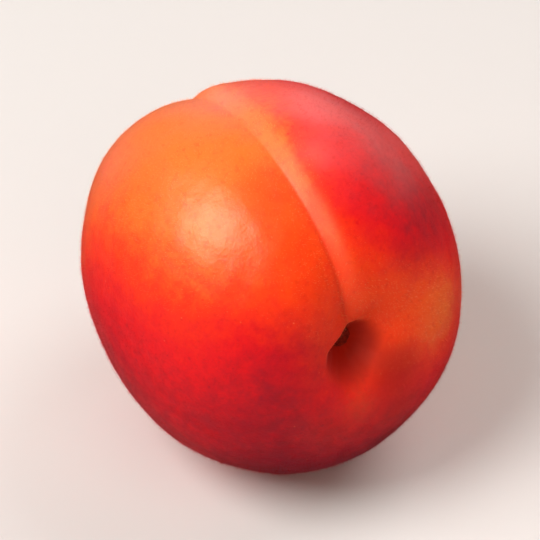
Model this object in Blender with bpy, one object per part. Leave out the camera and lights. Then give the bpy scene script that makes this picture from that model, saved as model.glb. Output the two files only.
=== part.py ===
"""One ripe apricot, lying on its back: the suture runs over the top and the stem end looks along -Y, a little up."""

import math

import bmesh
import bpy
from mathutils import Matrix, Vector

MM = 0.001

# The whole fruit, before it settles on its resting spot
LENGTH = 42.6 * MM  # from the stem end's shoulders to the tip
HEIGHT = 45.4 * MM  # from the suture to the back
WIDTH = 40.4 * MM  # from cheek to cheek
STEM_END_SWELL = 0.01  # how much fuller the stem half is than the tip half
SHOULDER_FULLNESS = 0.93  # below 1 squares the shoulders off at both ends
TIP_POINT = 0.8 * MM  # how far the tip is drawn out
TIP_POINT_RADIUS = 6.5 * MM
BEAK = 0.28 * MM  # the dry point that the flower leaves on the tip
BEAK_RADIUS = 0.9 * MM

# How the fruit lies
STEM_RAISED = math.radians(13.5)
LEAN = math.radians(2.3)  # the suture leans this far towards the left cheek
SPOT_PRESSED = 0.85 * MM  # how far the skin is flattened where the fruit rests
SPOT_EDGE = 0.12 * MM  # height over which the flat spot rounds into the skin

# The suture, the crease from the stem pit over the front to the tip
SUTURE_BOW = math.radians(2.2)  # its sideways bow towards the left cheek
SUTURE_WAVE = 1.4  # half waves of that bow from stem to tip
SUTURE_FADE = 0.35  # the higher, the sooner the suture grows shallow towards both ends
CREASE_DEPTH = 0.75 * MM
CREASE_DEPTH_AT_STEM = 1.5 * MM
CREASE_STEM_REACH = math.radians(24)
CREASE_LEFT = 2.6 * MM  # width of its gentle left side
CREASE_RIGHT = 1.25 * MM  # width of its steep right side
CREASE_ROUNDING = 0.5 * MM
VALLEY_DEPTH = 0.7 * MM  # the wide hollow that the crease lies in
VALLEY_WIDTH = 7.0 * MM
LIP_RISE = 0.12 * MM  # the rolled right edge of the crease
LIP_PLACE = 2.4 * MM
LIP_WIDTH = 1.5 * MM

# The hollow at the stem end: a soft basin with the pit where the stalk sat
BASIN_DEPTH = 2.7 * MM
BASIN_RADIUS = 6.4 * MM
BASIN_SPREAD = 0.3  # how much wider the basin opens on the right cheek
BASIN_SPREAD_TURN = math.radians(80)
PIT_DEPTH = 3.3 * MM
PIT_RADIUS = 3.4 * MM
PIT_STEEPNESS = 2.2  # the higher, the steeper the wall between a flat floor and the basin
PIT_SPREAD = 0.15  # how much wider the pit opens on its gentle side
PIT_SPREAD_TURN = math.radians(145)
LIP_OVERHANG = 1.7 * MM  # how far the left cheek folds over the pit, beside the suture
LIP_TURN = math.radians(-22)
LIP_RING = 3.3 * MM
LIP_RING_WIDTH = 1.5 * MM
SCAR_RADIUS = 1.05 * MM  # the corky scar that the stalk leaves in the pit
SCAR_RISE = 0.3 * MM
SCAR_STEEPNESS = 4

# Soft folds that run out of the basin: turn from the suture, depth, half width as an angle
FOLDS = (
    (math.radians(137), 0.42 * MM, math.radians(20)),
    (math.radians(-152), 0.28 * MM, math.radians(17)),
    (math.radians(-62), 0.16 * MM, math.radians(15)),
)
FOLD_RING = 6.5 * MM
FOLD_RING_WIDTH = 3.6 * MM

# Slow swellings that keep the body from being a plain egg: depth, waves round, waves along, turn
SWELLINGS = (
    (0.22 * MM, 2, 1, math.radians(35)),
    (0.16 * MM, 3, 2, math.radians(-70)),
    (0.10 * MM, 5, 3, math.radians(15)),
)

# Where the cheeks bulge or lie flatter: angle from the stem, turn from the suture, reach, height
CHEEKS = (
    (math.radians(128), math.radians(-34), math.radians(27), 0.8 * MM),
    (math.radians(55), math.radians(116), math.radians(26), 0.4 * MM),
    (math.radians(112), math.radians(26), math.radians(24), -0.2 * MM),
)

# The mesh: rings lie closer at both ends, and meridians closer along the middle of the suture
MERIDIANS = 88
RINGS = 60
RING_CROWDING = 0.58
MERIDIAN_CROWDING = 0.74

SKIN_COLOUR = (0.90, 0.20, 0.035, 1.0)
SKIN_ROUGHNESS = 0.48


def hump(distance, width):
    """1 where distance is nothing, falling smoothly to 0 some way past width."""
    return math.exp(-((distance / width) ** 2))


def suture_turn(polar):
    """How far round the suture lies from the straight meridian, at this angle from the stem."""
    return -SUTURE_BOW * math.sin(SUTURE_WAVE * polar)


def body_point(polar, turn):
    """The plain body's surface. Own axes: +X the right cheek, +Y the suture, +Z the stem."""
    along = math.cos(polar)
    ring = math.sin(polar) ** SHOULDER_FULLNESS * (1 + STEM_END_SWELL * along)
    return Vector(
        (
            WIDTH / 2 * ring * math.sin(turn),
            HEIGHT / 2 * ring * math.cos(turn),
            LENGTH / 2 * along,
        )
    )


def outward(point):
    """The body's outward direction at a point of its surface."""
    sizes = (WIDTH, HEIGHT, LENGTH)
    return Vector([c / size**2 for c, size in zip(point, sizes)]).normalized()


def crease(across, polar):
    """Depth of the suture, this far across it. Across is positive on the right cheek."""
    deep = CREASE_DEPTH + CREASE_DEPTH_AT_STEM * hump(polar, CREASE_STEM_REACH)
    side = CREASE_RIGHT if across > 0 else CREASE_LEFT
    rounded = math.hypot(across, CREASE_ROUNDING) - CREASE_ROUNDING
    valley = VALLEY_DEPTH * hump(across, VALLEY_WIDTH)
    lip = LIP_RISE * hump(across - LIP_PLACE, LIP_WIDTH)
    return (deep * math.exp(-rounded / side) + valley - lip) * math.sin(polar) ** SUTURE_FADE


def direction(polar, turn):
    """The way from the fruit's middle, in its own axes."""
    ring = math.sin(polar)
    return Vector((ring * math.sin(turn), ring * math.cos(turn), math.cos(polar)))


def swelling(polar, turn):
    """The slow unevenness of the body, which fades out at both ends, and the cheeks' own bulges."""
    total = 0.0
    for depth, round_waves, along_waves, start in SWELLINGS:
        total += depth * math.cos(round_waves * turn + along_waves * polar + start)
    total *= math.sin(polar) ** 2
    here = direction(polar, turn)
    for bulge_polar, bulge_turn, reach, height in CHEEKS:
        apart = here.angle(direction(bulge_polar, bulge_turn))
        total += height * hump(apart, reach)
    return total


def angle_between(a, b):
    """The smaller angle between two turns."""
    return abs((a - b + math.pi) % (2 * math.pi) - math.pi)


def stem_sink(radius, turn):
    """How far the skin sinks round the stem, this far from the fruit's axis."""
    basin_radius = BASIN_RADIUS * (1 + BASIN_SPREAD * math.cos(turn - BASIN_SPREAD_TURN))
    basin = BASIN_DEPTH * hump(radius, basin_radius)
    pit_radius = PIT_RADIUS * (1 + PIT_SPREAD * math.cos(turn - PIT_SPREAD_TURN))
    pit = PIT_DEPTH * math.exp(-((radius / pit_radius) ** PIT_STEEPNESS))
    scar = SCAR_RISE * math.exp(-((radius / SCAR_RADIUS) ** SCAR_STEEPNESS))
    folds = sum(
        depth * hump(angle_between(turn, place), wide)
        for place, depth, wide in FOLDS
    )
    return basin + pit - scar + folds * hump(radius - FOLD_RING, FOLD_RING_WIDTH)


def fruit_point(polar, turn):
    """The skin at this angle from the stem and this turn from the suture, in the fruit's own axes."""
    facing = (1 + math.cos(turn)) / 2
    placed = turn + suture_turn(polar) * facing
    point = body_point(polar, placed)
    radius = math.hypot(point.x, point.y)
    inwards = crease(radius * turn, polar) * facing - swelling(polar, turn)
    point -= outward(point) * inwards
    if point.z > 0:
        point.z -= stem_sink(radius, turn)
        fold = LIP_OVERHANG * hump(radius - LIP_RING, LIP_RING_WIDTH)
        fold *= max(0.0, math.cos(turn - LIP_TURN)) ** 2
        point.x -= fold * math.sin(LIP_TURN)
        point.y -= fold * math.cos(LIP_TURN)
    else:
        point.z -= TIP_POINT * hump(radius, TIP_POINT_RADIUS)
        point.z -= BEAK * hump(radius, BEAK_RADIUS)
    return point


def lying_pose():
    """Turns the fruit's own axes to how it lies: the stem towards -Y and raised, the suture up."""
    raised = Matrix.Rotation(math.pi / 2 - STEM_RAISED, 4, "X")
    return Matrix.Rotation(-LEAN, 4, "Y") @ raised


def settle(points):
    """Flattens the lowest skin into a level spot, and puts the spot's level at zero."""
    level = min(p.z for p in points) + SPOT_PRESSED
    for p in points:
        above = p.z - level
        if above < -SPOT_EDGE:
            p.z = 0.0
        elif above < SPOT_EDGE:
            p.z = (above + SPOT_EDGE) ** 2 / (4 * SPOT_EDGE)
        else:
            p.z = above


def centre(points):
    """Moves the fruit so that the middle of its outline, seen from above, is the origin."""
    for axis in (0, 1):
        values = [p[axis] for p in points]
        middle = (min(values) + max(values)) / 2
        for p in points:
            p[axis] -= middle


def skin_material():
    material = bpy.data.materials.new("apricot_skin")
    material.use_nodes = True
    shader = material.node_tree.nodes["Principled BSDF"]
    shader.inputs["Base Color"].default_value = SKIN_COLOUR
    shader.inputs["Roughness"].default_value = SKIN_ROUGHNESS
    shader.inputs["Metallic"].default_value = 0.0
    return material


def make_apricot():
    """A sphere of rings and meridians, with each of its points moved to the skin."""
    bm = bmesh.new()
    bmesh.ops.create_uvsphere(bm, u_segments=MERIDIANS, v_segments=RINGS, radius=1.0)
    pose = lying_pose()
    points = []
    for vertex in bm.verts:
        even_polar = math.acos(max(-1.0, min(1.0, vertex.co.z)))
        even_turn = math.atan2(vertex.co.x, vertex.co.y)
        polar = even_polar - RING_CROWDING * math.sin(2 * even_polar) / 2
        crowding = MERIDIAN_CROWDING * math.sin(polar)
        turn = even_turn - crowding * math.sin(even_turn)
        points.append(pose @ fruit_point(polar, turn))
    settle(points)
    centre(points)
    for vertex, point in zip(bm.verts, points):
        vertex.co = point
    bmesh.ops.triangulate(bm, faces=bm.faces)
    bmesh.ops.recalc_face_normals(bm, faces=bm.faces)
    mesh = bpy.data.meshes.new("apricot")
    bm.to_mesh(mesh)
    bm.free()
    mesh.shade_smooth()
    mesh.materials.append(skin_material())
    fruit = bpy.data.objects.new("apricot", mesh)
    bpy.context.scene.collection.objects.link(fruit)


def main():
    for old in list(bpy.data.objects):
        bpy.data.objects.remove(old)
    make_apricot()


main()
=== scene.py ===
"""The apricot as it looks: a fine skin in the solid's form, its colours, scar, dry tip and down."""

import math

import bpy
import numpy as np
from mathutils import Matrix, Vector


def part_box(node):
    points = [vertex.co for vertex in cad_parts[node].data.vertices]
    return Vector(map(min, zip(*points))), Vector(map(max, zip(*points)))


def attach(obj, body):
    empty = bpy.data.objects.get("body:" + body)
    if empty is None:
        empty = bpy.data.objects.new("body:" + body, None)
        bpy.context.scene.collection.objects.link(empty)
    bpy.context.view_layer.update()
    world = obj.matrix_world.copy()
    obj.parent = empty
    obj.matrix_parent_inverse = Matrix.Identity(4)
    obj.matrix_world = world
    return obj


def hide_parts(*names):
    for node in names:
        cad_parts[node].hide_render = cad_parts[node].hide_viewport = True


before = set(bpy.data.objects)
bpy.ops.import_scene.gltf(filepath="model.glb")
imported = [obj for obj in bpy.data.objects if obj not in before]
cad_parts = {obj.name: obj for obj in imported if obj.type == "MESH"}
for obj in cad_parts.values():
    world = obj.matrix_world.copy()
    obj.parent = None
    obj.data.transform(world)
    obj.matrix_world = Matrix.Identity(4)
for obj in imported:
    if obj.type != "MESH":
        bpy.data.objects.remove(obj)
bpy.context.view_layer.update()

MM = 0.001

# The form, in the solid's own values. Own axes: +X the right cheek, +Y the suture, +Z the stem
LENGTH = 42.6 * MM
HEIGHT = 45.4 * MM
WIDTH = 40.4 * MM
STEM_END_SWELL = 0.01
SHOULDER_FULLNESS = 0.93
TIP_POINT = 0.8 * MM
TIP_POINT_RADIUS = 6.5 * MM
BEAK = 0.28 * MM
BEAK_RADIUS = 0.9 * MM
STEM_RAISED = math.radians(13.5)
LEAN = math.radians(2.3)
SPOT_EDGE = 0.12 * MM
SUTURE_BOW = math.radians(2.2)
SUTURE_WAVE = 1.4
SUTURE_FADE = 0.35
CREASE_DEPTH = 0.75 * MM
CREASE_DEPTH_AT_STEM = 1.5 * MM
CREASE_STEM_REACH = math.radians(24)
CREASE_LEFT = 2.6 * MM
CREASE_RIGHT = 1.25 * MM
CREASE_ROUNDING = 0.5 * MM
VALLEY_DEPTH = 0.7 * MM
VALLEY_WIDTH = 7.0 * MM
LIP_RISE = 0.12 * MM
LIP_PLACE = 2.4 * MM
LIP_WIDTH = 1.5 * MM
BASIN_DEPTH = 2.7 * MM
BASIN_RADIUS = 6.4 * MM
BASIN_SPREAD = 0.3
BASIN_SPREAD_TURN = math.radians(80)
PIT_DEPTH = 3.3 * MM
PIT_RADIUS = 3.4 * MM
PIT_STEEPNESS = 2.2
PIT_SPREAD = 0.15
PIT_SPREAD_TURN = math.radians(145)
LIP_OVERHANG = 1.7 * MM
LIP_TURN = math.radians(-22)
LIP_RING = 3.3 * MM
LIP_RING_WIDTH = 1.5 * MM
SCAR_RADIUS = 1.05 * MM
SCAR_RISE = 0.3 * MM
SCAR_STEEPNESS = 4
FOLDS = (
    (math.radians(137), 0.42 * MM, math.radians(20)),
    (math.radians(-152), 0.28 * MM, math.radians(17)),
    (math.radians(-62), 0.16 * MM, math.radians(15)),
)
FOLD_RING = 6.5 * MM
FOLD_RING_WIDTH = 3.6 * MM
SWELLINGS = (
    (0.22 * MM, 2, 1, math.radians(35)),
    (0.16 * MM, 3, 2, math.radians(-70)),
    (0.10 * MM, 5, 3, math.radians(15)),
)
CHEEKS = (
    (math.radians(128), math.radians(-34), math.radians(27), 0.8 * MM),
    (math.radians(55), math.radians(116), math.radians(26), 0.4 * MM),
    (math.radians(112), math.radians(26), math.radians(24), -0.2 * MM),
)

# The fine skin mesh
MERIDIANS = 416
RINGS = 224
RING_CROWDING = 0.58
MERIDIAN_CROWDING = 0.5

# Relief that is too fine for the solid: depth and range of wavelengths
LUMPS = (0.055 * MM, 7 * MM, 14 * MM)
DIMPLES = (0.013 * MM, 1.8 * MM, 3.6 * MM)
WAVES_IN_RELIEF = 48
SEAM_DEPTH = 0.06 * MM  # the hairline at the bottom of the crease
SEAM_WIDTH = 0.28 * MM
SEAM_MIDDLE = math.radians(34)  # where it is deepest, as an angle from the stem
SEAM_REACH = math.radians(34)
PLEAT_DEPTH = 0.022 * MM  # the small radial wrinkles of the pit's wall
PLEATS = 13
PLEAT_RING = 2.6 * MM
PLEAT_RING_WIDTH = 1.5 * MM
PLEAT_WANDER = (0.5, 5 * MM, 3 * MM)  # how far they stray sideways, and over what lengths
RELIEF_STARTS = 1.0 * MM  # the relief fades out below this height, towards the flat spot

# Patches of colour, some of them painted shade and painted sheen: angle from the stem, turn from the
# suture, reach as an angle, strength
BLUSH = (
    (46, -120, 45, 1.0),
    (90, -92, 35, 0.85),
    (34, -78, 15, 0.4),
    (50, 168, 37, 0.85),
    (54, 58, 34, 0.95),
    (88, 50, 31, 0.72),
    (50, 24, 17, 0.43),
    (72, 24, 15, 0.4),
    (96, 6, 18, 0.12),
    (43, 132, 22, 0.6),
    (112, 36, 26, 0.35),
    (128, 118, 32, 0.35),
    (112, -150, 34, 0.45),
)
BLUSH_EDGE = 2.4  # the higher, the sharper the borders of the blush
BARE = ((32, 92, 15, 0.8), (12, 62, 13, 0.8), (78, 62, 13, 0.3))
BARE_EDGE = 2.6
# Dusky purple: partly the skin's own dusk, partly painted shade towards the bottom and the lower left
DUSK_AND_SHADE = (
    (48, 60, 16, 0.28),
    (28, -100, 18, 0.3),
    (22, -62, 14, 0.24),
    (31, 54, 10, 0.22),
    (100, -88, 26, 0.22),
    (84, -116, 20, 0.35),
    (56, -150, 26, 0.65),
    (50, 172, 22, 0.6),
)
FLUSH = (
    (0, 0, 34, 1.0),
    (36, -22, 26, 0.62),
    (58, -8, 12, 0.35),
    (80, -62, 26, 0.42),
    (100, 20, 24, 0.35),
    (118, -60, 26, 0.5),
)
# A paler brown patch below the pit
PALE_BROWN_PATCH = ((15, -172, 8, 0.45),)
SHADE = (  # warm and dark like the pit
    (27, 155, 12, 0.5),
    (13, 140, 8, 0.55),
    (18, 124, 8, 0.45),
    (24, -150, 12, 0.35),
)
# Pale pink patches: partly the skin's bloom, partly painted sheen on the upper right
BLOOM_AND_SHEEN = (
    (84, 27, 16, 0.9),
    (106, 4, 22, 0.7),
    (66, 46, 20, 0.5),
    (62, 14, 9, 0.35),
    (114, -40, 18, 0.4),
    (80, 62, 14, 0.4),
)
SOFT_EDGE = 2.0  # of the borders of all the other patches
HOLLOW_REACH = 1.15  # how far the pit's painted shade goes, as a share of its radius
HOLLOW_SPREAD = 0.33  # how much further it goes on the gentle side
HOLLOW_SPREAD_TURN = math.radians(176)
STRIP_PLACE = 1.25 * MM  # the painted highlight strip along the right side of the suture, where its lip catches light
STRIP_WIDTH = 1.1 * MM
STRIP_MIDDLE = math.radians(42)  # where it is strongest, as an angle from the stem
STRIP_REACH = math.radians(24)
LIP_SHARE = 1.3  # the dull, less red lip of the suture is this much wider than the strip
LIP_PALENESS = 0.5  # how much of the blush the lip loses
SEAM_COLOUR_WIDTH = 0.4 * MM
DRY_TIP_REACH = 0.9 * MM

# The cork disc of the scar, over the solid's own rise: sizes are heights or radii
CORK_SIDES = 72
CORK_RINGS = 14
CORK_EDGE = 1.32 * MM
CORK_RAGGED = 0.14  # how uneven its outline is, as a share of its radius
CORK_MIDDLE_SUNK = 0.16 * MM
CORK_DISH = 0.1 * MM
CORK_RIM = (0.26 * MM, 0.74, 0.16)  # height, then place and width as shares of the radius
CORK_RIM_RAGGED = 0.5
CORK_ROUGH = 0.035 * MM
CORK_FALL = 0.55 * MM  # how far its edge goes down into the skin
CORK_FALL_START = 0.86
CORK_UNDERSIDE = 0.6 * MM
CORK_LIFT = 0.02 * MM

# The dry spike on the tip
TIP_SPIKE_SIDES = 24
TIP_SPIKE_RINGS = 12
TIP_SPIKE_LENGTH = 0.75 * MM
TIP_SPIKE_RADIUS = 0.34 * MM
TIP_SPIKE_BEND = 0.12 * MM
TIP_SPIKE_SUNK = 0.2 * MM
TIP_SPIKE_TAPER = 0.7
TIP_SPIKE_WAIST = 0.25  # how much it swells and narrows on its way
TIP_SPIKE_END = 0.02 * MM
TIP_SPIKE_RIBS = 0.16
TIP_SPIKE_RAGGED = 0.05

# The down: fine short hairs
HAIRS = 48000
HAIR_LENGTH = (0.16 * MM, 0.42 * MM)
HAIR_HALF_WIDTH = 0.0105 * MM
HAIR_ROOT = 0.03 * MM
HAIR_LEAN = 0.75
BARE_PIT = 0.3  # how deep in the pit's painted shade the down ends
NO_DOWN = -100.0  # stands in the blush for skin without any down
HAIR_CLEARANCE = 0.02 * MM  # hairs end at least this far above the ground
HAIR_LOWEST_ROOT = 0.25 * MM
HAIR_UPRIGHT = 0.35  # the least cosine between a hair and the skin's outward direction

# Grains of the skin's noise, coarse to fine
PATCHY_GRAIN = 6 * MM
MOTTLED_GRAIN = 1.5 * MM
SPECKLED_GRAIN = 0.7 * MM
FINE_GRAIN = 0.42 * MM
CORK_GRAIN = 0.25 * MM

# Dots: spacing, radius, share of the places that have one
FRECKLES = (1.0 * MM, 0.26 * MM, 0.4)
LENTICELS = (1.9 * MM, 0.13 * MM, 0.75)
SPECKS = (8.5 * MM, 0.24 * MM, 0.35)

# How far each kind of unevenness stands out, and how strongly it shades
MOTTLED_BUMP = (0.03 * MM, 0.8)
FINE_BUMP = (0.035 * MM, 0.9)
LENTICEL_BUMP = (0.02 * MM, 0.7)
CORK_BUMP = (0.06 * MM, 0.9)

# The skin's dullness: its own, and what the mottling, the suture's lip and the pit add
SKIN_ROUGHNESS = 0.35
MOTTLED_ROUGHNESS = 0.14
LIP_ROUGHNESS = 0.3
PIT_ROUGHNESS = 0.5

# Colours as they look on a screen, 0 to 255
GROUND = (252, 119, 44)
FLUSHED = (248, 62, 8)
BLUSH_LIGHT = (244, 50, 18)
BLUSH_RED = (226, 9, 24)
BLUSH_DEEP = (180, 3, 30)
# the skin's dusky purple, also used as painted shade
DUSKY_PURPLE_AND_SHADE = (116, 8, 38)
BLOOM_AND_SHEEN_PINK = (255, 176, 172)
SPECKLE = (236, 196, 190)
LENTICEL = (252, 150, 96)
SPECK = (112, 48, 22)
PALE_BROWN = (200, 84, 44)
# Painted shade of the pit and the shade patches, also the dry tip's own brown
PIT_SHADE_AND_DRY_TIP = (158, 12, 1)
STRIP_HIGHLIGHT = (255, 128, 96)
SEAM_RED = (206, 44, 20)
# the scar's cork, darkened to dark red as painted shade like the pit's
SCAR_CORK_AND_SHADE = ((96, 12, 3), (150, 34, 12))
TIP_COLOURS = ((52, 14, 6), (126, 52, 24))
DOWN_SHADES = (  # from the ground to the deepest blush
    ("pale", (252, 166, 108)),
    ("warm", (244, 122, 80)),
    ("rosy", (224, 48, 42)),
    ("crimson", (184, 18, 30)),
)
SHINE_TINT = (255, 212, 184)
FUZZ_TINT = (255, 160, 160)
FLOOR_COLOUR = (214, 212, 209)
FLOOR_HALF_SIDE = 3.0

# Each light: where it stands (right, above and in front of the fruit), distance, size, power, colour.
# The gloss light gives all of the shine and nothing else
LIGHTS = (
    ("key", (-0.53, 0.37, 0.763), 0.6, 0.36, 3.7, (1.0, 0.97, 0.95)),
    ("gloss", (-0.53, 0.37, 0.763), 0.6, 0.54, 13.5, (1.0, 0.95, 0.93)),
    ("fill", (0.48, 0.76, 0.32), 0.9, 0.6, 3.0, (1.0, 0.96, 0.95)),
    ("front", (0.25, 0.15, 0.96), 1.0, 0.8, 2.5, (1.0, 0.82, 0.70)),
    ("rim", (0.32, 0.88, -0.35), 0.9, 0.5, 1.6, (1.0, 0.86, 0.86)),
)
WORLD_COLOUR = (1.0, 0.98, 0.96, 1.0)
WORLD_STRENGTH = 0.15

CAMERA_AZIMUTH = math.radians(-30.5)
CAMERA_ELEVATION = math.radians(45)
CAMERA_DISTANCE = 0.5
CAMERA_SPAN = 60 * MM
SENSOR = 36.0

SEED = 7


def hump(distance, width):
    """1 where distance is nothing, falling smoothly to 0 some way past width."""
    return np.exp(-((distance / width) ** 2))


def suture_turn(polar):
    return -SUTURE_BOW * np.sin(SUTURE_WAVE * polar)


def body_points(polar, turn):
    along = np.cos(polar)
    ring = np.sin(polar) ** SHOULDER_FULLNESS * (1 + STEM_END_SWELL * along)
    return np.stack(
        (
            WIDTH / 2 * ring * np.sin(turn),
            HEIGHT / 2 * ring * np.cos(turn),
            LENGTH / 2 * along,
        ),
        axis=1,
    )


def outward(points):
    slope = points / np.array((WIDTH, HEIGHT, LENGTH)) ** 2
    return slope / np.linalg.norm(slope, axis=1)[:, None]


def crease(across, polar):
    deep = CREASE_DEPTH + CREASE_DEPTH_AT_STEM * hump(polar, CREASE_STEM_REACH)
    side = np.where(across > 0, CREASE_RIGHT, CREASE_LEFT)
    rounded = np.hypot(across, CREASE_ROUNDING) - CREASE_ROUNDING
    valley = VALLEY_DEPTH * hump(across, VALLEY_WIDTH)
    lip = LIP_RISE * hump(across - LIP_PLACE, LIP_WIDTH)
    return (deep * np.exp(-rounded / side) + valley - lip) * np.sin(polar) ** SUTURE_FADE


def directions(polar, turn):
    ring = np.sin(polar)
    return np.stack((ring * np.sin(turn), ring * np.cos(turn), np.cos(polar)), axis=-1)


def angles_from(polar, turn, centre_polar, centre_turn):
    """How far each point lies from a place on the fruit, as an angle seen from its middle."""
    cosine = directions(polar, turn) @ directions(centre_polar, centre_turn)
    return np.arccos(np.clip(cosine, -1, 1))


def swelling(polar, turn):
    total = np.zeros_like(polar)
    for depth, round_waves, along_waves, start in SWELLINGS:
        total += depth * np.cos(round_waves * turn + along_waves * polar + start)
    total *= np.sin(polar) ** 2
    for bulge_polar, bulge_turn, reach, height in CHEEKS:
        total += height * hump(angles_from(polar, turn, bulge_polar, bulge_turn), reach)
    return total


def angle_between(a, b):
    return np.abs((a - b + math.pi) % (2 * math.pi) - math.pi)


def pit_radius(turn):
    return PIT_RADIUS * (1 + PIT_SPREAD * np.cos(turn - PIT_SPREAD_TURN))


def stem_sink(radius, turn):
    basin_radius = BASIN_RADIUS * (1 + BASIN_SPREAD * np.cos(turn - BASIN_SPREAD_TURN))
    basin = BASIN_DEPTH * hump(radius, basin_radius)
    pit = PIT_DEPTH * np.exp(-((radius / pit_radius(turn)) ** PIT_STEEPNESS))
    scar = SCAR_RISE * np.exp(-((radius / SCAR_RADIUS) ** SCAR_STEEPNESS))
    folds = sum(
        depth * hump(angle_between(turn, place), wide) for place, depth, wide in FOLDS
    )
    return basin + pit - scar + folds * hump(radius - FOLD_RING, FOLD_RING_WIDTH)


def fruit_points(polar, turn):
    """The skin in the fruit's own axes, with the distance from its axis and across the suture."""
    facing = (1 + np.cos(turn)) / 2
    placed = turn + suture_turn(polar) * facing
    points = body_points(polar, placed)
    radius = np.hypot(points[:, 0], points[:, 1])
    across = radius * turn
    inwards = crease(across, polar) * facing - swelling(polar, turn)
    points -= outward(points) * inwards[:, None]
    stem_half = points[:, 2] > 0
    fold = LIP_OVERHANG * hump(radius - LIP_RING, LIP_RING_WIDTH)
    fold *= np.maximum(0.0, np.cos(turn - LIP_TURN)) ** 2
    points[:, 0] -= np.where(stem_half, fold * math.sin(LIP_TURN), 0.0)
    points[:, 1] -= np.where(stem_half, fold * math.cos(LIP_TURN), 0.0)
    tip = TIP_POINT * hump(radius, TIP_POINT_RADIUS) + BEAK * hump(radius, BEAK_RADIUS)
    points[:, 2] -= np.where(stem_half, stem_sink(radius, turn), tip)
    return points, radius, across


def lying_pose():
    raised = Matrix.Rotation(math.pi / 2 - STEM_RAISED, 3, "X")
    return np.array(Matrix.Rotation(-LEAN, 3, "Y") @ raised)


def skin_grid():
    """The angles of the skin mesh's points, ring by ring from the stem to the tip, and its faces."""
    even_polar = np.linspace(0, math.pi, RINGS + 1)[1:-1]
    even_turn = np.arange(MERIDIANS) * 2 * math.pi / MERIDIANS - math.pi
    polar = even_polar - RING_CROWDING * np.sin(2 * even_polar) / 2
    polar = np.repeat(polar, MERIDIANS)
    turn = np.tile(even_turn, RINGS - 1)
    turn = turn - MERIDIAN_CROWDING * np.sin(polar) * np.sin(turn)
    polar = np.concatenate(([0.0], polar, [math.pi]))
    turn = np.concatenate(([0.0], turn, [0.0]))
    faces = []
    last = len(polar) - 1
    for side in range(MERIDIANS):
        after = (side + 1) % MERIDIANS
        faces.append((0, 1 + after, 1 + side))
        for ring in range(RINGS - 2):
            start = 1 + ring * MERIDIANS
            faces.append(
                (
                    start + side,
                    start + after,
                    start + MERIDIANS + after,
                    start + MERIDIANS + side,
                )
            )
        start = last - MERIDIANS
        faces.append((last, start + side, start + after))
    return polar, turn, faces


def random_waves(points, longest, shortest, random):
    """A smooth random height, about -1 to 1, from plane waves that run every way."""
    total = np.zeros(len(points))
    for _ in range(WAVES_IN_RELIEF):
        way = random.normal(size=3)
        way *= 2 * math.pi / (np.linalg.norm(way) * random.uniform(shortest, longest))
        total += np.cos(points @ way + random.uniform(0, 2 * math.pi))
    return total / math.sqrt(WAVES_IN_RELIEF / 2)


def fine_relief(points, polar, turn, radius, across, random):
    """How far the skin stands out from the plain form."""
    height = LUMPS[0] * random_waves(points, LUMPS[2], LUMPS[1], random)
    height += DIMPLES[0] * random_waves(points, DIMPLES[2], DIMPLES[1], random)
    height -= SEAM_DEPTH * hump(across, SEAM_WIDTH) * hump(polar - SEAM_MIDDLE, SEAM_REACH)
    wander = PLEAT_WANDER[0] * random_waves(points, PLEAT_WANDER[1], PLEAT_WANDER[2], random)
    in_pit = np.where(polar < math.pi / 2, hump(radius - PLEAT_RING, PLEAT_RING_WIDTH), 0)
    return height + PLEAT_DEPTH * in_pit * np.cos(PLEATS * turn + wander)


def patches(polar, turn, spots, edge):
    """How strongly the named patches cover each point, 0 to 1."""
    bare = np.ones(len(polar))
    for spot_polar, spot_turn, reach, strength in spots:
        apart = angles_from(polar, turn, math.radians(spot_polar), math.radians(spot_turn))
        bare *= 1 - strength * np.exp(-((apart / math.radians(reach)) ** edge))
    return 1 - bare


def add_mesh(name, points, faces, material):
    mesh = bpy.data.meshes.new(name)
    mesh.from_pydata(points, [], faces)
    mesh.update()
    mesh.shade_smooth()
    mesh.materials.append(material)
    piece = bpy.data.objects.new(name, mesh)
    bpy.context.scene.collection.objects.link(piece)
    return piece


def write_attribute(mesh, name, values):
    attribute = mesh.attributes.new(name, "FLOAT", "POINT")
    attribute.data.foreach_set("value", np.asarray(values, np.float32))


def normals_of(mesh):
    normals = np.empty(len(mesh.vertices) * 3, np.float32)
    mesh.vertex_normals.foreach_get("vector", normals)
    return normals.reshape(-1, 3)


def flatten_spot(points):
    """Presses whatever is lowest into the flat spot, with the same soft edge as the solid's."""
    above = points[:, 2]
    eased = (above + SPOT_EDGE) ** 2 / (4 * SPOT_EDGE)
    points[:, 2] = np.where(
        above < -SPOT_EDGE, 0.0, np.where(above < SPOT_EDGE, eased, above)
    )


class Placing:
    """Where the fruit's own axes lie in the frame. It is read from the solid's box."""

    def __init__(self, own):
        self.turned = lying_pose()
        low_corner, high_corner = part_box("apricot")
        lying = own @ self.turned.T
        low, high = lying.min(0), lying.max(0)
        self.shift = (np.array(low_corner + high_corner) - low - high) / 2
        self.shift[2] = high_corner.z - high[2]

    def points(self, own):
        return own @ self.turned.T + self.shift


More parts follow.
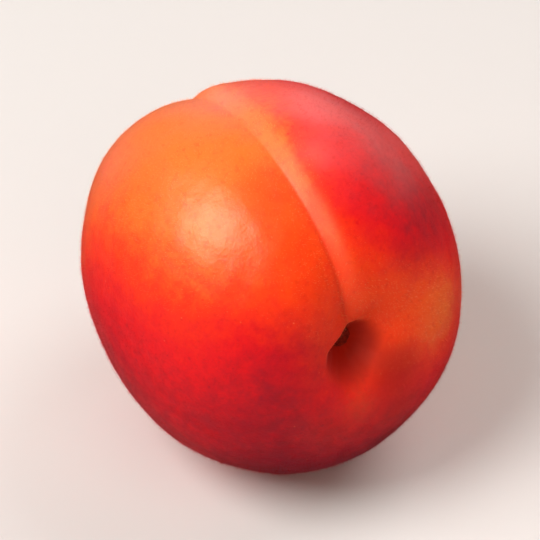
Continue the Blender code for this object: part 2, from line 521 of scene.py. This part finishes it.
class Nodes:
    """Short ways to add and link a material's nodes."""

    def __init__(self, name):
        self.material = bpy.data.materials.new(name)
        self.material.use_nodes = True
        self.tree = self.material.node_tree
        self.shader = self.tree.nodes["Principled BSDF"]

    def add(self, kind, **settings):
        node = self.tree.nodes.new(kind)
        for key, value in settings.items():
            setattr(node, key, value)
        return node

    def put(self, value, socket):
        if isinstance(value, bpy.types.NodeSocket):
            self.tree.links.new(value, socket)
        else:
            socket.default_value = value

    def attribute(self, name):
        return self.add("ShaderNodeAttribute", attribute_name=name).outputs["Fac"]

    def math(self, operation, a, b=0.0, c=0.0):
        node = self.add("ShaderNodeMath", operation=operation)
        for socket, value in zip(node.inputs, (a, b, c)):
            self.put(value, socket)
        return node.outputs[0]

    def ramp(self, value, low, high, to_low=0.0, to_high=1.0):
        node = self.add("ShaderNodeMapRange", interpolation_type="SMOOTHSTEP")
        for name, item in zip(
            ("Value", "From Min", "From Max", "To Min", "To Max"),
            (value, low, high, to_low, to_high),
        ):
            self.put(item, node.inputs[name])
        return node.outputs["Result"]

    def place(self):
        return self.add("ShaderNodeTexCoord").outputs["Object"]

    def noise(self, size, detail=2.0, roughness=0.5, stretch=None):
        """Noise with grains of about this size, centred on nothing."""
        node = self.add("ShaderNodeTexNoise")
        self.put(self.place() if stretch is None else stretch, node.inputs["Vector"])
        node.inputs["Scale"].default_value = 1 / size
        node.inputs["Detail"].default_value = detail
        node.inputs["Roughness"].default_value = roughness
        return self.math("SUBTRACT", node.outputs["Fac"], 0.5)

    def dots(self, spacing, radius, share):
        """Scattered round dots: 1 inside a dot. Share is how many of the cells have one."""
        node = self.add("ShaderNodeTexVoronoi", feature="F1")
        self.put(self.place(), node.inputs["Vector"])
        node.inputs["Scale"].default_value = 1 / spacing
        colour = self.add("ShaderNodeSeparateColor")
        self.put(node.outputs["Color"], colour.inputs[0])
        chosen = self.math("LESS_THAN", colour.outputs[0], share)
        wide = self.math("MULTIPLY_ADD", colour.outputs[1], 0.6, 0.5)
        reach = self.math("MULTIPLY", wide, radius / spacing)
        near = self.math("DIVIDE", node.outputs["Distance"], reach)
        return self.math("MULTIPLY", chosen, self.ramp(near, 1.0, 0.55))

    def mix(self, share, a, b, blend="MIX"):
        node = self.add("ShaderNodeMix", data_type="RGBA", blend_type=blend)
        self.put(share, node.inputs["Factor"])
        self.put(a, node.inputs[6])
        self.put(b, node.inputs[7])
        return node.outputs[2]

    def bump(self, height, distance, strength=1.0, normal=None):
        node = self.add("ShaderNodeBump")
        node.inputs["Strength"].default_value = strength
        node.inputs["Distance"].default_value = distance
        self.put(height, node.inputs["Height"])
        if normal is not None:
            self.put(normal, node.inputs["Normal"])
        return node.outputs["Normal"]

    def set(self, **values):
        for key, value in values.items():
            self.put(value, self.shader.inputs[key.replace("_", " ")])


def srgb(red, green, blue):
    """A colour given as it looks on a screen, 0 to 255, in the shader's linear values."""
    share = [c / 255 for c in (red, green, blue)]
    return [c / 12.92 if c < 0.04045 else ((c + 0.055) / 1.055) ** 2.4 for c in share] + [1.0]


def skin_colour(n, mottled, grainy):
    """Orange ground, red blush with a mottled border, dusk partly painted shade, pale bloom partly
    painted sheen.
    """
    patchy = n.noise(PATCHY_GRAIN, 2)
    blush = n.attribute("blush")
    freckles = n.dots(*FRECKLES)
    border = n.ramp(blush, 0.04, 0.3)
    field = n.math("MULTIPLY_ADD", patchy, 0.20, blush)
    field = n.math("MULTIPLY_ADD", mottled, 0.34, field)
    field = n.math("MULTIPLY_ADD", grainy, 0.22, field)
    field = n.math("MULTIPLY_ADD", n.math("MULTIPLY", freckles, border), 0.10, field)

    flush = n.math("MULTIPLY_ADD", patchy, 0.35, n.attribute("flush"))
    colour = n.mix(n.ramp(flush, 0.0, 0.9), srgb(*GROUND), srgb(*FLUSHED))
    colour = n.mix(n.ramp(field, 0.06, 0.46), colour, srgb(*BLUSH_LIGHT))
    colour = n.mix(n.ramp(field, 0.36, 0.78), colour, srgb(*BLUSH_RED))
    colour = n.mix(n.ramp(field, 0.70, 1.10), colour, srgb(*BLUSH_DEEP))
    # Dusky purple, partly painted shade on the bottom and lower left
    dusk_and_shade = n.math("MULTIPLY_ADD", mottled, 0.25, n.attribute("dusk_and_shade"))
    colour = n.mix(n.ramp(dusk_and_shade, 0.05, 0.85), colour, srgb(*DUSKY_PURPLE_AND_SHADE))
    # Pale pink bloom, partly painted sheen
    bloom_and_sheen = n.math("MULTIPLY_ADD", patchy, 0.4, n.attribute("bloom_and_sheen"))
    colour = n.mix(n.ramp(bloom_and_sheen, 0.0, 1.0, 0.0, 0.34), colour, srgb(*BLOOM_AND_SHEEN_PINK))
    speckled = n.noise(SPECKLED_GRAIN, 3, 0.65)
    return n.mix(n.ramp(speckled, 0.02, 0.2, 0.0, 0.5), colour, srgb(*SPECKLE), "MULTIPLY")


def skin_material():
    n = Nodes("fruit_skin")
    mottled = n.noise(MOTTLED_GRAIN, 3, 0.6)
    grainy = n.noise(FINE_GRAIN, 2, 0.6)
    colour = skin_colour(n, mottled, grainy)

    lenticels = n.dots(*LENTICELS)
    colour = n.mix(n.math("MULTIPLY", lenticels, 0.32), colour, srgb(*LENTICEL))
    specks = n.dots(*SPECKS)
    colour = n.mix(n.math("MULTIPLY", specks, 0.6), colour, srgb(*SPECK))
    # A paler brown patch below the pit
    pale_brown = n.math("MULTIPLY_ADD", grainy, 0.5, n.attribute("pale_brown"))
    colour = n.mix(n.ramp(pale_brown, 0.05, 0.9, 0.0, 0.6), colour, srgb(*PALE_BROWN))
    # Painted shade of the pit and of the shade patches, with the dry tip's own brown in the same mask
    pit_shade = n.attribute("pit_shade")
    colour = n.mix(n.ramp(pit_shade, 0.1, 0.95, 0.0, 0.85), colour, srgb(*PIT_SHADE_AND_DRY_TIP))
    # Painted highlight along the suture's right lip
    colour = n.mix(n.math("MULTIPLY", n.attribute("highlight_strip"), 0.2), colour, srgb(*STRIP_HIGHLIGHT))
    colour = n.mix(n.math("MULTIPLY", n.attribute("seam"), 0.35), colour, srgb(*SEAM_RED))

    skin_bump = n.bump(mottled, *MOTTLED_BUMP)
    skin_bump = n.bump(grainy, *FINE_BUMP, skin_bump)
    skin_bump = n.bump(lenticels, *LENTICEL_BUMP, skin_bump)
    roughness = n.math("MULTIPLY_ADD", mottled, MOTTLED_ROUGHNESS, SKIN_ROUGHNESS)
    roughness = n.math("MULTIPLY_ADD", n.attribute("lip"), LIP_ROUGHNESS, roughness)
    n.set(
        Base_Color=colour,
        Roughness=n.math("MULTIPLY_ADD", pit_shade, PIT_ROUGHNESS, roughness),
        Normal=skin_bump,
        Specular_IOR_Level=0.35,
        Specular_Tint=srgb(*SHINE_TINT),
        Subsurface_Weight=0.25,
        Subsurface_Radius=(1.0, 0.30, 0.14),
        Subsurface_Scale=1.5 * MM,
        Sheen_Weight=0.12,
        Sheen_Roughness=0.45,
        Sheen_Tint=srgb(*FUZZ_TINT),
    )
    return n.material


def cork_material(name, dark, light):
    n = Nodes(name)
    grain = n.noise(CORK_GRAIN, 3, 0.7)
    colour = n.mix(n.ramp(grain, -0.2, 0.25), srgb(*dark), srgb(*light))
    n.set(
        Base_Color=colour,
        Roughness=0.82,
        Normal=n.bump(grain, *CORK_BUMP),
        Specular_IOR_Level=0.15,
    )
    return n.material


def down_material(shade, colour):
    n = Nodes("down_" + shade)
    n.set(Base_Color=srgb(*colour), Roughness=0.6, Specular_IOR_Level=0.2)
    return n.material


def floor_material():
    n = Nodes("pale_floor")
    n.set(Base_Color=srgb(*FLOOR_COLOUR), Roughness=0.7, Specular_IOR_Level=0.25)
    return n.material


def make_skin(random):
    """The skin: the solid's form on a fine mesh, with finer relief and masks for colours, painted shade
    and highlight.
    """
    polar, turn, faces = skin_grid()
    own, radius, across = fruit_points(polar, turn)
    placing = Placing(own)
    points = placing.points(own)
    flatten_spot(points)
    skin = add_mesh("fruit_skin", points, faces, skin_material())
    relief = fine_relief(own, polar, turn, radius, across, random)
    relief *= np.clip(points[:, 2] / RELIEF_STARTS, 0, 1)
    points = points + normals_of(skin.data) * relief[:, None]
    skin.data.vertices.foreach_set("co", points.astype(np.float32).ravel())
    skin.data.update()

    on_stem_half = polar < math.pi / 2
    lip = hump(across - STRIP_PLACE, LIP_SHARE * STRIP_WIDTH) * np.sin(polar)
    blush = patches(polar, turn, BLUSH, BLUSH_EDGE)
    blush *= 1 - patches(polar, turn, BARE, BARE_EDGE)
    blush *= 1 - LIP_PALENESS * lip
    seam = hump(across, SEAM_COLOUR_WIDTH) * hump(polar - SEAM_MIDDLE, SEAM_REACH)
    # Painted highlight along the right lip of the suture
    highlight_strip = hump(across - STRIP_PLACE, STRIP_WIDTH) * hump(polar - STRIP_MIDDLE, STRIP_REACH)
    reach = HOLLOW_REACH * PIT_RADIUS
    reach = reach * (1 + HOLLOW_SPREAD * np.cos(turn - HOLLOW_SPREAD_TURN))
    # Painted shade in the pit, darkest at its middle
    pit_shade = np.where(on_stem_half, np.exp(-((radius / reach) ** 4)), 0)
    dry_tip = np.where(on_stem_half, 0, hump(radius, DRY_TIP_REACH))
    write_attribute(skin.data, "blush", blush)
    write_attribute(skin.data, "dusk_and_shade", patches(polar, turn, DUSK_AND_SHADE, SOFT_EDGE))
    write_attribute(skin.data, "flush", patches(polar, turn, FLUSH, SOFT_EDGE))
    write_attribute(skin.data, "pale_brown", patches(polar, turn, PALE_BROWN_PATCH, SOFT_EDGE))
    shade = patches(polar, turn, SHADE, SOFT_EDGE)
    # The dry tip's own brown goes into the same mask as the painted shade
    write_attribute(skin.data, "pit_shade", np.maximum(np.maximum(pit_shade, dry_tip), shade))
    write_attribute(skin.data, "seam", seam)
    write_attribute(skin.data, "highlight_strip", highlight_strip)
    write_attribute(skin.data, "lip", lip)
    write_attribute(skin.data, "bloom_and_sheen", patches(polar, turn, BLOOM_AND_SHEEN, SOFT_EDGE))
    return skin, placing, np.where(pit_shade > BARE_PIT, NO_DOWN, blush)


def sampled_surface(mesh, count, values, random):
    """Random points spread evenly over a mesh, with its smooth normals and the given values there."""
    mesh.calc_loop_triangles()
    corners = np.empty(len(mesh.loop_triangles) * 3, np.int32)
    mesh.loop_triangles.foreach_get("vertices", corners)
    corners = corners.reshape(-1, 3)
    areas = np.empty(len(mesh.loop_triangles), np.float32)
    mesh.loop_triangles.foreach_get("area", areas)
    points = np.empty(len(mesh.vertices) * 3, np.float32)
    mesh.vertices.foreach_get("co", points)
    points = points.reshape(-1, 3)
    normals = normals_of(mesh)
    chances = areas.astype(float) / areas.astype(float).sum()
    chosen = corners[random.choice(len(corners), count, p=chances)]
    shares = random.dirichlet((1, 1, 1), count)
    at = (points[chosen] * shares[:, :, None]).sum(1)
    normal = (normals[chosen] * shares[:, :, None]).sum(1)
    return at, unit(normal), (values[chosen] * shares).sum(1)


def unit(vectors):
    return vectors / np.linalg.norm(vectors, axis=1)[:, None]


def make_down(skin, blush, random):
    """Short tapered hairs, closed three-sided spikes with sunk roots. They are darker on the blush."""
    root, normal, redness = sampled_surface(skin.data, HAIRS, blush, random)
    lean = random.normal(size=(HAIRS, 3))
    way = unit(normal + HAIR_LEAN * random.uniform(0.2, 1, (HAIRS, 1)) * unit(lean))
    length = random.uniform(*HAIR_LENGTH, (HAIRS, 1))
    tip = root + way * length
    clear = tip[:, 2] > HAIR_CLEARANCE
    clear &= root[:, 2] > HAIR_LOWEST_ROOT
    clear &= (way * normal).sum(1) > HAIR_UPRIGHT
    clear &= redness >= 0
    root, way, tip, normal, redness = (v[clear] for v in (root, way, tip, normal, redness))
    count = len(root)
    side = unit(np.cross(way, random.normal(size=(count, 3))))
    other = np.cross(way, side)
    foot = root - normal * HAIR_ROOT
    corners = [
        foot + HAIR_HALF_WIDTH * (math.cos(a) * side + math.sin(a) * other)
        for a in (0, 2 * math.pi / 3, 4 * math.pi / 3)
    ]
    points = np.stack((*corners, tip), axis=1).reshape(-1, 3)
    spike = np.array(((0, 1, 3), (1, 2, 3), (2, 0, 3), (2, 1, 0)))
    faces = (np.arange(count)[:, None, None] * 4 + spike).reshape(-1, 3)
    (first_name, first_colour), *others = DOWN_SHADES
    down = add_mesh("down", points, faces.tolist(), down_material(first_name, first_colour))
    for name, colour in others:
        down.data.materials.append(down_material(name, colour))
    shade = np.clip(redness * len(DOWN_SHADES), 0, len(DOWN_SHADES) - 1).astype(np.int32)
    down.data.polygons.foreach_set("material_index", np.repeat(shade, len(spike)))
    return down


def band(first, second, sides):
    """Faces between two rings of points, given by the number of each ring's first point."""
    return [
        (first + s, second + s, second + (s + 1) % sides, first + (s + 1) % sides)
        for s in range(sides)
    ]


def cork_height(share, turn, raggedness):
    """The disc's top, at this share of its radius."""
    height, place, width = CORK_RIM
    rim = height * math.exp(-(((share - place) / width) ** 2))
    rim *= 1 + CORK_RIM_RAGGED * raggedness
    fall = CORK_FALL * max(0.0, share - CORK_FALL_START) / (1 - CORK_FALL_START)
    rough = CORK_ROUGH * math.sin(9 * turn + 11 * share) * share
    return rim + rough - fall - CORK_DISH * (1 - share)


def make_scar(placing, random):
    """The corky disc that the stalk leaves on the pit's floor: a ragged rim round a sunken middle."""
    sides = CORK_SIDES
    floor, _, _ = fruit_points(np.array([0.0]), np.array([0.0]))
    ragged = random.uniform(-1, 1, sides)
    ragged = (ragged + np.roll(ragged, 1) + np.roll(ragged, -1)) / 3
    points = [(0, 0, -CORK_MIDDLE_SUNK)]
    for ring in range(1, CORK_RINGS + 1):
        share = ring / CORK_RINGS
        for side in range(sides):
            turn = 2 * math.pi * side / sides
            reach = share * CORK_EDGE * (1 + CORK_RAGGED * ragged[side] * share)
            height = cork_height(share, turn, ragged[(side * 5) % sides])
            points.append((reach * math.cos(turn), reach * math.sin(turn), height))
    points.append((0, 0, -CORK_UNDERSIDE))
    under = len(points) - 1
    faces = [(0, 1 + s, 1 + (s + 1) % sides) for s in range(sides)]
    for ring in range(CORK_RINGS - 1):
        first = 1 + ring * sides
        faces += band(first, first + sides, sides)
    last = 1 + (CORK_RINGS - 1) * sides
    faces += [(under, last + (s + 1) % sides, last + s) for s in range(sides)]
    own = np.array(points) + floor[0] + np.array((0, 0, CORK_LIFT))
    # Cork colours darkened to dark red: partly the scar's own cork, partly painted shade
    cork = cork_material("scar_cork_and_shade", *SCAR_CORK_AND_SHADE)
    return add_mesh("stem_scar", placing.points(own), faces, cork)


def make_tip(placing, random):
    """The dry point that the flower leaves: a small crooked spike on the tip."""
    sides = TIP_SPIKE_SIDES
    points = []
    for ring in range(TIP_SPIKE_RINGS):
        share = ring / (TIP_SPIKE_RINGS - 1)
        waist = 1 + TIP_SPIKE_WAIST * math.sin(9 * share)
        wide = TIP_SPIKE_RADIUS * (1 - share) ** TIP_SPIKE_TAPER * waist + TIP_SPIKE_END
        bend = TIP_SPIKE_BEND * share**2
        for side in range(sides):
            turn = 2 * math.pi * side / sides
            ribs = TIP_SPIKE_RIBS * math.cos(5 * turn + 3 * share)
            reach = wide * (1 + ribs + TIP_SPIKE_RAGGED * random.uniform(-1, 1))
            place = (reach * math.cos(turn) + bend, reach * math.sin(turn))
            points.append((*place, -TIP_SPIKE_LENGTH * share))
    faces = []
    for ring in range(TIP_SPIKE_RINGS - 1):
        faces += band(ring * sides, (ring + 1) * sides, sides)
    faces.append(tuple(range(sides)))
    faces.append(tuple(reversed(range((TIP_SPIKE_RINGS - 1) * sides, TIP_SPIKE_RINGS * sides))))
    end, _, _ = fruit_points(np.array([math.pi]), np.array([0.0]))
    own = np.array(points) + end[0] + np.array((0, 0, TIP_SPIKE_SUNK))
    cork = cork_material("tip_cork", *TIP_COLOURS)
    return add_mesh("tip_point", placing.points(own), faces, cork)


def camera_axes():
    back = Vector(
        (
            math.sin(CAMERA_AZIMUTH) * math.cos(CAMERA_ELEVATION),
            -math.cos(CAMERA_AZIMUTH) * math.cos(CAMERA_ELEVATION),
            math.sin(CAMERA_ELEVATION),
        )
    )
    turned = (-back).to_track_quat("-Z", "Y")
    return turned, turned @ Vector((1, 0, 0)), turned @ Vector((0, 1, 0)), back


def add_camera(target):
    turned, _, _, back = camera_axes()
    data = bpy.data.cameras.new("camera")
    data.sensor_width = SENSOR
    data.lens = SENSOR * CAMERA_DISTANCE / CAMERA_SPAN
    camera = bpy.data.objects.new("camera", data)
    camera.location = target + back * CAMERA_DISTANCE
    camera.rotation_euler = turned.to_euler()
    bpy.context.scene.collection.objects.link(camera)
    bpy.context.scene.camera = camera


def add_light(name, target, place, distance, size, power, colour):
    """A round soft light, placed by how far it stands right of, above and in front of the fruit."""
    _, right, above, back = camera_axes()
    across, up, towards = place
    way = (right * across + above * up + back * towards).normalized()
    data = bpy.data.lights.new(name, "AREA")
    data.shape = "DISK"
    data.size = size
    data.energy = power
    data.color = colour
    light = bpy.data.objects.new(name, data)
    light.location = target + way * distance
    light.rotation_euler = (-way).to_track_quat("-Z", "Y").to_euler()
    bpy.context.scene.collection.objects.link(light)
    return light


def make_stage(target):
    side = FLOOR_HALF_SIDE
    points = [(-side, -side, 0), (side, -side, 0), (side, side, 0), (-side, side, 0)]
    floor = add_mesh("floor", points, [(0, 1, 2, 3)], floor_material())
    floor.visible_glossy = False
    for name, place, distance, size, power, colour in LIGHTS:
        light = add_light(name, target, place, distance, size, power, colour)
        if name == "gloss":
            light.visible_diffuse = False
        else:
            light.visible_glossy = False
    world = bpy.data.worlds.new("studio")
    bpy.context.scene.world = world
    world.use_nodes = True
    background = world.node_tree.nodes["Background"]
    background.inputs["Color"].default_value = WORLD_COLOUR
    background.inputs["Strength"].default_value = WORLD_STRENGTH
    world.cycles_visibility.glossy = False
    bpy.context.scene.view_settings.view_transform = "Standard"


def finish_piece(piece):
    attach(piece, "root")


def main():
    random = np.random.default_rng(SEED)
    skin, placing, blush = make_skin(random)
    finish_piece(skin)
    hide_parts("apricot")
    finish_piece(make_down(skin, blush, random))
    finish_piece(make_scar(placing, random))
    finish_piece(make_tip(placing, random))
    low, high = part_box("apricot")
    target = (low + high) / 2
    add_camera(target)
    make_stage(target)


main()
